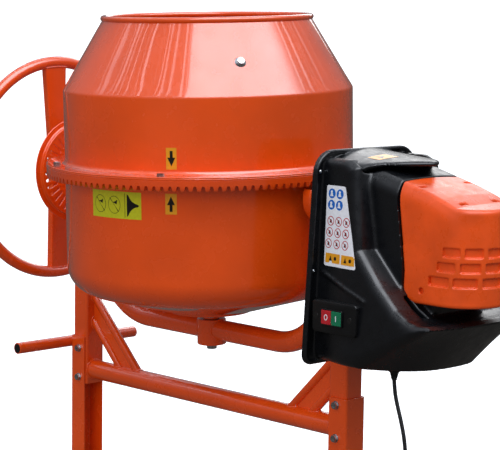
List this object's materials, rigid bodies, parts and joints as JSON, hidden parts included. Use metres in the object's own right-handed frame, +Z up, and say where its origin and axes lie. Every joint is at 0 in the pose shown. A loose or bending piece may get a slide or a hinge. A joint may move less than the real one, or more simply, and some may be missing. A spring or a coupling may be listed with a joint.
{
  "type": "concrete mixer",
  "caption": "Tilting-drum electric concrete mixer on a tubular stand: geared drum in a yoke, handwheel with locking disc, motor housing, feet and transport wheels.",
  "frame": {"origin": "on the ground under the middle of the mixer's length and width", "axes": "+X from the handwheel to the motor housing, +Y from the front to the back, +Z up"},
  "size_m": [1.314, 0.69, 1.3512],
  "materials": {
    "orange_enamel": "gloss powder coat",
    "orange_gear_ring": "gloss powder coat over cast iron",
    "black_plastic": "satin moulded plastic",
    "orange_plastic": "satin moulded plastic",
    "switch_plastic": "matt moulded plastic",
    "stop_red": "gloss",
    "start_green": "gloss",
    "zinc_plated_steel": "zinc plated",
    "machined_steel": "turned",
    "cast_iron": "as cast, machined teeth",
    "cast_aluminium": "as cast",
    "bearing_bronze": "sintered",
    "tyre_rubber": "moulded rubber",
    "foot_rubber": "moulded rubber",
    "belt_rubber": "ribbed rubber",
    "wheel_plastic": "moulded plastic",
    "capacitor_plastic": "moulded plastic",
    "cord_rubber": "matt rubber sheath"
  },
  "bodies": {
    "stand": {"left_upright": "orange_enamel", "right_upright": "orange_enamel", "cross_tube": "orange_enamel", "corner_braces": "orange_enamel", "bearing_housings": "orange_enamel", "tilt_bushes": "bearing_bronze", "locking_disc": "orange_enamel", "left_leg": "orange_enamel", "right_leg": "orange_enamel", "leg_bolts": "zinc_plated_steel", "foot_bar": "orange_enamel", "foot_pads": "foot_rubber", "foot_struts": "orange_enamel", "handle_bar": "orange_enamel", "wheel_struts": "orange_enamel", "axle_tube": "orange_enamel", "axle": "machined_steel", "axle_pins": "zinc_plated_steel", "housing_back": "black_plastic", "housing_spacers": "zinc_plated_steel", "housing_front": "black_plastic", "motor_cap": "orange_plastic", "housing_screws": "zinc_plated_steel", "motor_body": "cast_aluminium", "motor_bracket": "zinc_plated_steel", "drive_belt": "belt_rubber", "capacitor": "capacitor_plastic", "switch_box": "switch_plastic", "cable_gland": "switch_plastic", "power_cord": "cord_rubber", "cord_coil": "cord_rubber", "plug": "switch_plastic"},
    "yoke": {"yoke_tube": "orange_enamel", "yoke_boss": "orange_enamel", "left_trunnion": "machined_steel", "right_trunnion": "machined_steel", "ball_bearings": "machined_steel", "pinion_guard": "orange_enamel"},
    "drum": {"drum_lower": "orange_enamel", "drum_upper": "orange_enamel", "ring_gear": "orange_gear_ring", "flange_bolts": "zinc_plated_steel", "mixing_paddles": "orange_enamel", "drum_spindle": "orange_enamel", "drum_bolts": "zinc_plated_steel"},
    "drive": {"pinion": "cast_iron", "drive_shaft": "machined_steel", "driven_pulley": "cast_aluminium"},
    "rotor": {"motor_shaft": "machined_steel", "motor_pulley": "cast_aluminium", "motor_fan": "wheel_plastic"},
    "handwheel": {"handwheel_ring": "orange_enamel", "handwheel_spoke": "orange_enamel", "lock_spring": "zinc_plated_steel"},
    "front_wheel": {"front_tyre": "tyre_rubber", "front_wheel_centre": "wheel_plastic"},
    "back_wheel": {"back_tyre": "tyre_rubber", "back_wheel_centre": "wheel_plastic"},
    "stop": {"stop_button": "stop_red"},
    "start": {"start_button": "start_green"}
  },
  "joints": [
    {"name": "drum_tilt", "type": "hinge", "parent": "stand", "child": "yoke", "pos_m": [-0.118, 0, 0.99], "axis": [1, 0, 0], "range_deg": [-120, 120]},
    {"name": "drum_spin", "type": "hinge", "parent": "yoke", "child": "drum", "pos_m": [-0.118, 0.01047, 0.69018], "axis": [0, -0.0349, 0.9994], "continuous": true},
    {"name": "pinion_spin", "type": "hinge", "parent": "yoke", "child": "drive", "pos_m": [0.203, 0, 0.99], "axis": [1, 0, 0], "continuous": true},
    {"name": "motor_spin", "type": "hinge", "parent": "stand", "child": "rotor", "pos_m": [0.374, 0, 0.898], "axis": [1, 0, 0], "continuous": true},
    {"name": "handwheel_slide", "type": "slide", "parent": "yoke", "child": "handwheel", "axis": [1, 0, 0], "range_m": [0, 0.012]},
    {"name": "front_wheel_spin", "type": "hinge", "parent": "stand", "child": "front_wheel", "pos_m": [0.283, -0.3, 0.1], "axis": [0, 1, 0], "continuous": true},
    {"name": "back_wheel_spin", "type": "hinge", "parent": "stand", "child": "back_wheel", "pos_m": [0.283, 0.3, 0.1], "axis": [0, 1, 0], "continuous": true},
    {"name": "stop_press", "type": "slide", "parent": "stand", "child": "stop", "axis": [0, 1, 0], "range_m": [0, 0.003], "stiffness_N_per_m": 400},
    {"name": "start_press", "type": "slide", "parent": "stand", "child": "start", "axis": [0, 1, 0], "range_m": [0, 0.003], "stiffness_N_per_m": 400}
  ],
  "couplings": [
    {"joint": "pinion_spin", "follows": "drum_spin", "ratio": -11},
    {"joint": "motor_spin", "follows": "drum_spin", "ratio": -88}
  ]
}
